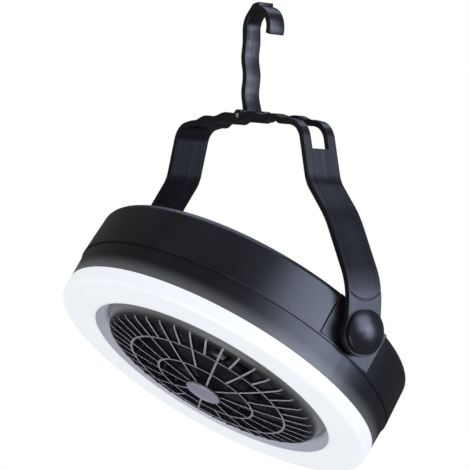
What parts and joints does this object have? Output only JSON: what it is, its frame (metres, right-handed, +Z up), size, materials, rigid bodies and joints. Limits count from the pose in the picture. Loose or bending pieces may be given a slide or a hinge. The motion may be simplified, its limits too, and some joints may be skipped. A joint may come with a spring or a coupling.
{
  "type": "portable camping fan with ring light",
  "caption": "Hanging camping fan with a ring light round its grille, a tilting round head in a bell-shaped bail, and a fold-down hook on the grip bar.",
  "frame": {"origin": "centre of the raised hook's inner curl, where the fan hangs, on the bail's middle plane", "axes": "+Z up as the fan hangs, +Y along the hook curl's axis (the light ring faces -Y and down), +X along the grip bar towards the side that the hook folds to"},
  "size_m": [0.1998, 0.1702, 0.2421],
  "materials": {
    "bail_plastic": "satin moulded plastic",
    "cap_plastic": "satin moulded plastic",
    "shell_plastic": "fine-grained satin plastic",
    "diffuser_plastic": "milky translucent, smooth",
    "guard_plastic": "satin moulded plastic",
    "hub_trim": "satin metallic paint",
    "fan_plastic": "satin moulded plastic",
    "button_plastic": "matte moulded plastic",
    "steel": "plain zinc-plated steel",
    "motor_can": "plated steel can",
    "washer_rubber": "matte rubber",
    "board_white": "white solder mask",
    "led_resin": "clear resin over phosphor",
    "board_green": "green solder mask",
    "cell_wrap": "plain metallic wrap",
    "contact_metal": "bright strip"
  },
  "bodies": {
    "bail": {"handle": "bail_plastic", "hook_pin": "steel", "pivot_cap_right": "cap_plastic", "pivot_cap_left": "cap_plastic"},
    "hook": {"hook": "bail_plastic"},
    "head": {"pivot_screws": "steel", "friction_washers": "washer_rubber", "front_bezel": "shell_plastic", "rear_housing": "shell_plastic", "rear_grille": "shell_plastic", "diffuser": "diffuser_plastic", "inner_trim": "hub_trim", "guard": "guard_plastic", "hub_disc": "hub_trim", "led_board": "board_white", "leds": "led_resin", "motor": "motor_can", "batteries": "cell_wrap", "battery_contacts": "contact_metal", "circuit_board": "board_green", "case_screws": "steel"},
    "fan": {"impeller": "fan_plastic", "motor_shaft": "steel"},
    "door_right": {"battery_door_right": "shell_plastic"},
    "door_left": {"battery_door_left": "shell_plastic"},
    "button_light": {"light_button": "button_plastic"},
    "button_fan": {"fan_button": "button_plastic"}
  },
  "joints": [
    {"name": "hook_fold", "type": "hinge", "parent": "bail", "child": "hook", "pos_m": [-0.00707, 0, -0.0451], "axis": [0, 1, 0], "range_deg": [0, 94]},
    {"name": "head_tilt", "type": "hinge", "parent": "bail", "child": "head", "pos_m": [-0.00707, 0, -0.1506], "axis": [1, 0, 0], "range_deg": [-56, 124]},
    {"name": "fan_spin", "type": "hinge", "parent": "head", "child": "fan", "pos_m": [-0.00707, -0.00503, -0.15806], "axis": [0, -0.5592, -0.829], "continuous": true},
    {"name": "light_press", "type": "slide", "parent": "head", "child": "button_light", "axis": [0, -0.5592, -0.829], "range_m": [0, 0.0022], "stiffness_N_per_m": 600, "springref_m": -0.0008},
    {"name": "fan_press", "type": "slide", "parent": "head", "child": "button_fan", "axis": [0, -0.5592, -0.829], "range_m": [0, 0.0022], "stiffness_N_per_m": 600, "springref_m": -0.0008},
    {"name": "door_right_swing", "type": "hinge", "parent": "head", "child": "door_right", "pos_m": [0.02795, 0.047, -0.17036], "axis": [0.8192, -0.4755, 0.3207], "range_deg": [0, 100]},
    {"name": "door_left_swing", "type": "hinge", "parent": "head", "child": "door_left", "pos_m": [-0.04209, 0.047, -0.17036], "axis": [0.8192, 0.4755, -0.3207], "range_deg": [0, 100]}
  ]
}
